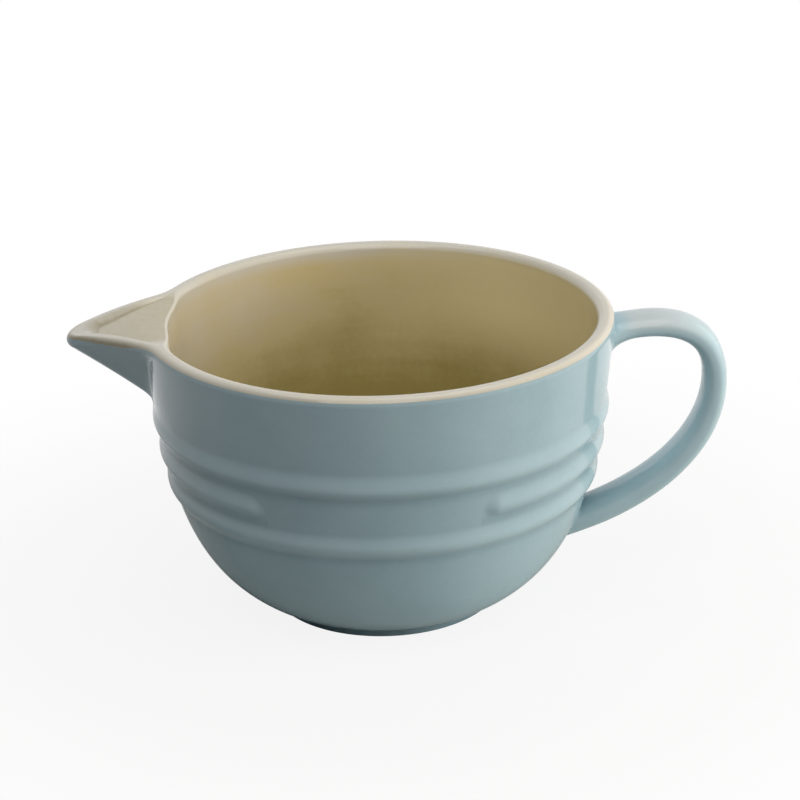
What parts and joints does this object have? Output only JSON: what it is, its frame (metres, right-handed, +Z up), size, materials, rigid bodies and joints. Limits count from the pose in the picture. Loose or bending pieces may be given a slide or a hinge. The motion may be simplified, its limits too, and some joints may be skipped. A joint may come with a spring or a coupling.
{
  "type": "mixing jug",
  "caption": "Round stoneware mixing jug with a beak-shaped pouring spout, a strap handle, moulded ribs round the wall, pale blue glaze outside and a cream lining, for mixing and pouring batter.",
  "frame": {"origin": "on the bowl's axis, on the plane that the foot ring stands on", "axes": "+X from the axis towards the handle, the spout points along -X, +Z up"},
  "size_m": [0.2671, 0.19, 0.122],
  "materials": {
    "bare_stoneware": "unglazed fired stoneware, matt",
    "blue_glaze": "glossy pale blue glaze",
    "cream_glaze": "glossy cream lining glaze"
  },
  "bodies": {
    "root": {"stoneware_bowl": "bare_stoneware", "foot_ring": "bare_stoneware", "stoneware_spout": "bare_stoneware", "stoneware_handle": "bare_stoneware", "upper_slip_joint": "bare_stoneware", "lower_slip_joint": "bare_stoneware", "bowl_glaze": "blue_glaze", "spout_glaze": "blue_glaze", "handle_glaze": "blue_glaze", "bowl_lining": "cream_glaze", "spout_lining": "cream_glaze"}
  },
  "joints": []
}
